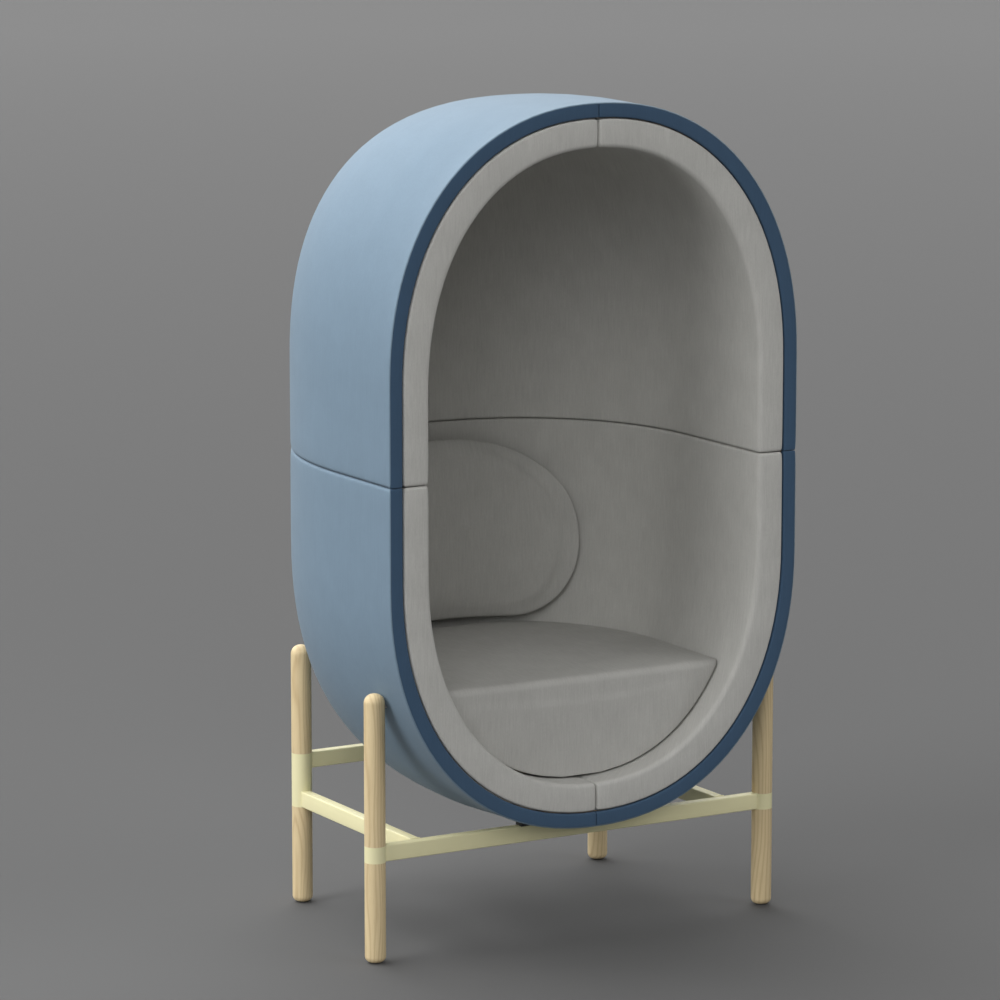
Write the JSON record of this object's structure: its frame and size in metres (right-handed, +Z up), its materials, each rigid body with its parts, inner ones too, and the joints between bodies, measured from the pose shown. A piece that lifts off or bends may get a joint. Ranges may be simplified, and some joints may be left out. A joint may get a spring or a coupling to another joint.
{
  "type": "pod chair",
  "caption": "Upholstered pod chair with a deep oval mouth, a fixed seat pad and a loose back cushion, on a steel frame with round wooden legs.",
  "frame": {"origin": "middle of the box round the whole chair, on the floor", "axes": "+Z up, the mouth of the pod faces -Y, +X to the right of someone who looks at the front"},
  "size_m": [0.861, 0.703, 1.528],
  "materials": {
    "outer_fabric": "light blue wool felt cover on thin foam",
    "edge_fabric": "dark blue wool felt edge band",
    "liner_fabric": "grey melange weave on foam",
    "cushion_fabric": "grey melange weave on foam",
    "plywood": "raw birch plywood, hidden",
    "ash_wood": "ash, clear matt lacquer",
    "frame_steel": "cream powder coat, satin",
    "fixing_steel": "zinc plated",
    "black_plastic": "matt black"
  },
  "bodies": {
    "pod_chair": {"outer_cover_upper": "outer_fabric", "outer_cover_lower": "outer_fabric", "edge_band_upper_left": "edge_fabric", "edge_band_upper_right": "edge_fabric", "edge_band_lower_left": "edge_fabric", "edge_band_lower_right": "edge_fabric", "liner_upper_left": "liner_fabric", "liner_upper_right": "liner_fabric", "liner_lower_left": "liner_fabric", "liner_lower_right": "liner_fabric", "seat_cushion": "cushion_fabric", "shell_upper": "plywood", "shell_lower": "plywood", "rim_board_upper": "plywood", "rim_board_lower": "plywood", "seam_flange_upper": "plywood", "seam_flange_lower": "plywood", "seat_deck": "plywood", "seat_front_board": "plywood", "seat_rib_left": "plywood", "seat_rib_right": "plywood", "leg_post_front_left": "ash_wood", "leg_post_front_right": "ash_wood", "leg_post_back_left": "ash_wood", "leg_post_back_right": "ash_wood", "leg_foot_front_left": "ash_wood", "leg_foot_front_right": "ash_wood", "leg_foot_back_left": "ash_wood", "leg_foot_back_right": "ash_wood", "flange_dowels": "ash_wood", "sleeve_front_left": "frame_steel", "sleeve_front_right": "frame_steel", "sleeve_back_left": "frame_steel", "sleeve_back_right": "frame_steel", "front_rail": "frame_steel", "back_rail": "frame_steel", "side_rail_left": "frame_steel", "side_rail_right": "frame_steel", "flange_bolts": "fixing_steel", "flange_nuts": "fixing_steel", "pod_bolts": "fixing_steel", "pod_inserts": "fixing_steel", "leg_studs": "fixing_steel", "leg_screws": "fixing_steel", "saddles_front": "black_plastic", "saddles_back": "black_plastic", "floor_glides": "black_plastic"},
    "back_cushion": {"back_cushion": "cushion_fabric"}
  },
  "joints": [
    {"name": "back_cushion_pull", "type": "slide", "parent": "pod_chair", "child": "back_cushion", "axis": [0, -1, 0], "range_m": [0, 0.3]}
  ]
}
